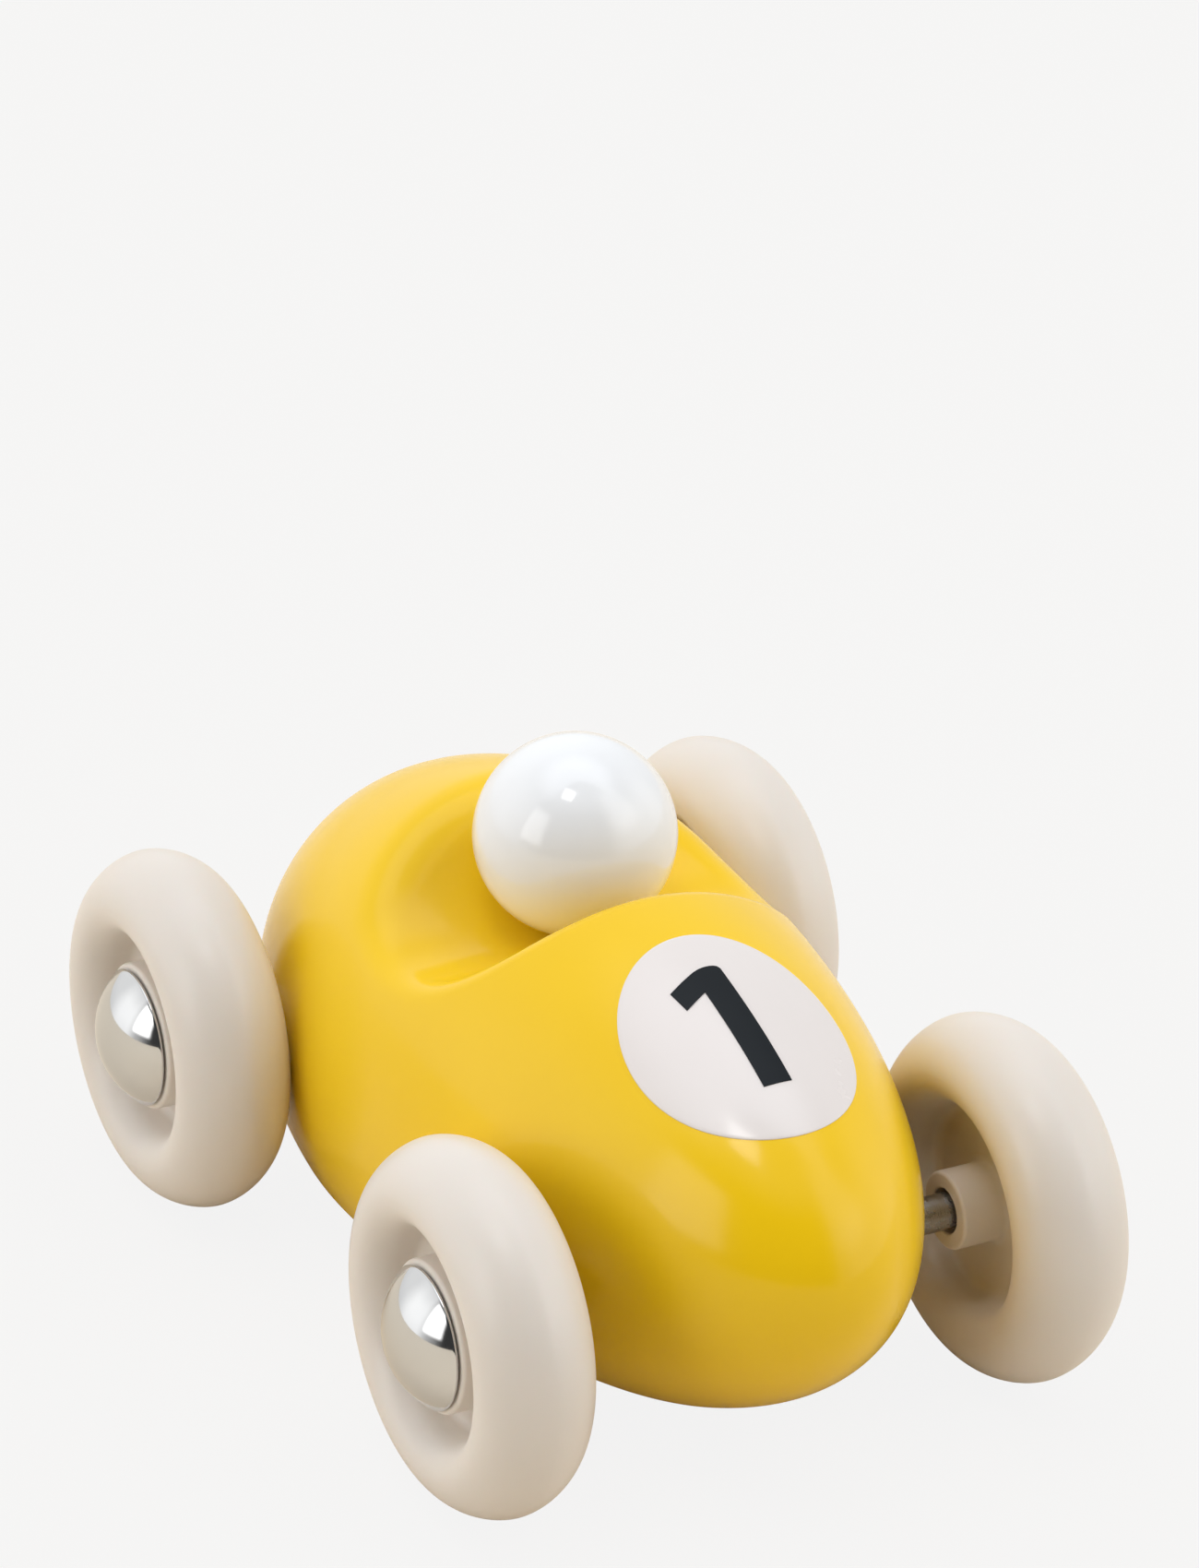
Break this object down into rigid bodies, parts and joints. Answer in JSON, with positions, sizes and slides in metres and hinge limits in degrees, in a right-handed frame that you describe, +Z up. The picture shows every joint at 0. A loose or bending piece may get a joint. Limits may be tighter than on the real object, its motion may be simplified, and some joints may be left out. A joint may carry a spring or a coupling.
{
  "type": "pull back car",
  "caption": "Rounded wooden toy racing car with a ball-headed driver, domed chrome axle caps and a spring pull-back motor that drives its rear axle.",
  "frame": {"origin": "under the middle of the whole car, on the surface its wheels stand on", "axes": "+Z up, -Y towards the nose, +X towards the car's own left side"},
  "size_m": [0.1078, 0.1406, 0.0768],
  "materials": {
    "body_lacquer": "smooth opaque yellow gloss lacquer",
    "head_lacquer": "smooth opaque white gloss lacquer",
    "bare_wood": "plain turned beech",
    "roundel_print": "pale printed layer under clear lacquer",
    "digit_print": "near-black printed layer under clear lacquer",
    "cover_plastic": "fine grained black moulding",
    "screw_steel": "zinc plated",
    "case_plastic": "dark grey moulding",
    "plate_steel": "plain steel",
    "spring_steel": "blued spring steel",
    "axle_steel": "ground steel rod",
    "wheel_plastic": "cream satin-gloss moulding",
    "cap_chrome": "polished chrome",
    "gear_plastic": "natural white gear plastic"
  },
  "bodies": {
    "car_body": {"wooden_body": "body_lacquer", "driver_head": "head_lacquer", "head_dowel": "bare_wood", "number_roundel": "roundel_print", "number_digit": "digit_print", "motor_cover": "cover_plastic", "cover_screws": "screw_steel", "motor_case_right": "case_plastic", "motor_case_left": "case_plastic", "motor_plate": "plate_steel", "case_screws": "screw_steel", "compound_gear_pin": "plate_steel", "mainspring": "spring_steel"},
    "front_axle_set": {"front_axle": "axle_steel", "front_left_wheel": "wheel_plastic", "front_right_wheel": "wheel_plastic", "front_left_hubcap": "cap_chrome", "front_right_hubcap": "cap_chrome", "front_left_push_nut": "spring_steel", "front_right_push_nut": "spring_steel"},
    "rear_axle_set": {"rear_axle": "axle_steel", "axle_pinion": "gear_plastic", "rear_left_wheel": "wheel_plastic", "rear_right_wheel": "wheel_plastic", "rear_left_hubcap": "cap_chrome", "rear_right_hubcap": "cap_chrome", "rear_left_push_nut": "spring_steel", "rear_right_push_nut": "spring_steel"},
    "compound_gear": {"compound_gear": "gear_plastic"},
    "spring_gear": {"spring_gear": "gear_plastic"},
    "wind_gear_pin": {"wind_gear_pin": "plate_steel"},
    "wind_gear": {"wind_gear": "gear_plastic"}
  },
  "joints": [
    {"name": "front_axle_spin", "type": "hinge", "parent": "car_body", "child": "front_axle_set", "pos_m": [0, -0.0417, 0.025], "axis": [1, 0, 0], "continuous": true},
    {"name": "rear_axle_spin", "type": "hinge", "parent": "car_body", "child": "rear_axle_set", "pos_m": [0, 0.0423, 0.025], "axis": [1, 0, 0], "continuous": true},
    {"name": "compound_gear_spin", "type": "hinge", "parent": "car_body", "child": "compound_gear", "pos_m": [0, 0.0425, 0.036], "axis": [1, 0, 0], "continuous": true},
    {"name": "spring_gear_spin", "type": "hinge", "parent": "car_body", "child": "spring_gear", "pos_m": [0, 0.0303, 0.0315], "axis": [1, 0, 0], "continuous": true},
    {"name": "wind_gear_shift", "type": "slide", "parent": "car_body", "child": "wind_gear_pin", "axis": [0, 0.4763, 0.8793], "range_m": [0, 0.001]},
    {"name": "wind_gear_spin", "type": "hinge", "parent": "wind_gear_pin", "child": "wind_gear", "pos_m": [0, 0.03613, 0.01602], "axis": [1, 0, 0], "continuous": true}
  ],
  "couplings": [
    {"joint": "compound_gear_spin", "follows": "rear_axle_spin", "ratio": -0.57143},
    {"joint": "spring_gear_spin", "follows": "rear_axle_spin", "ratio": 0.17143}
  ]
}
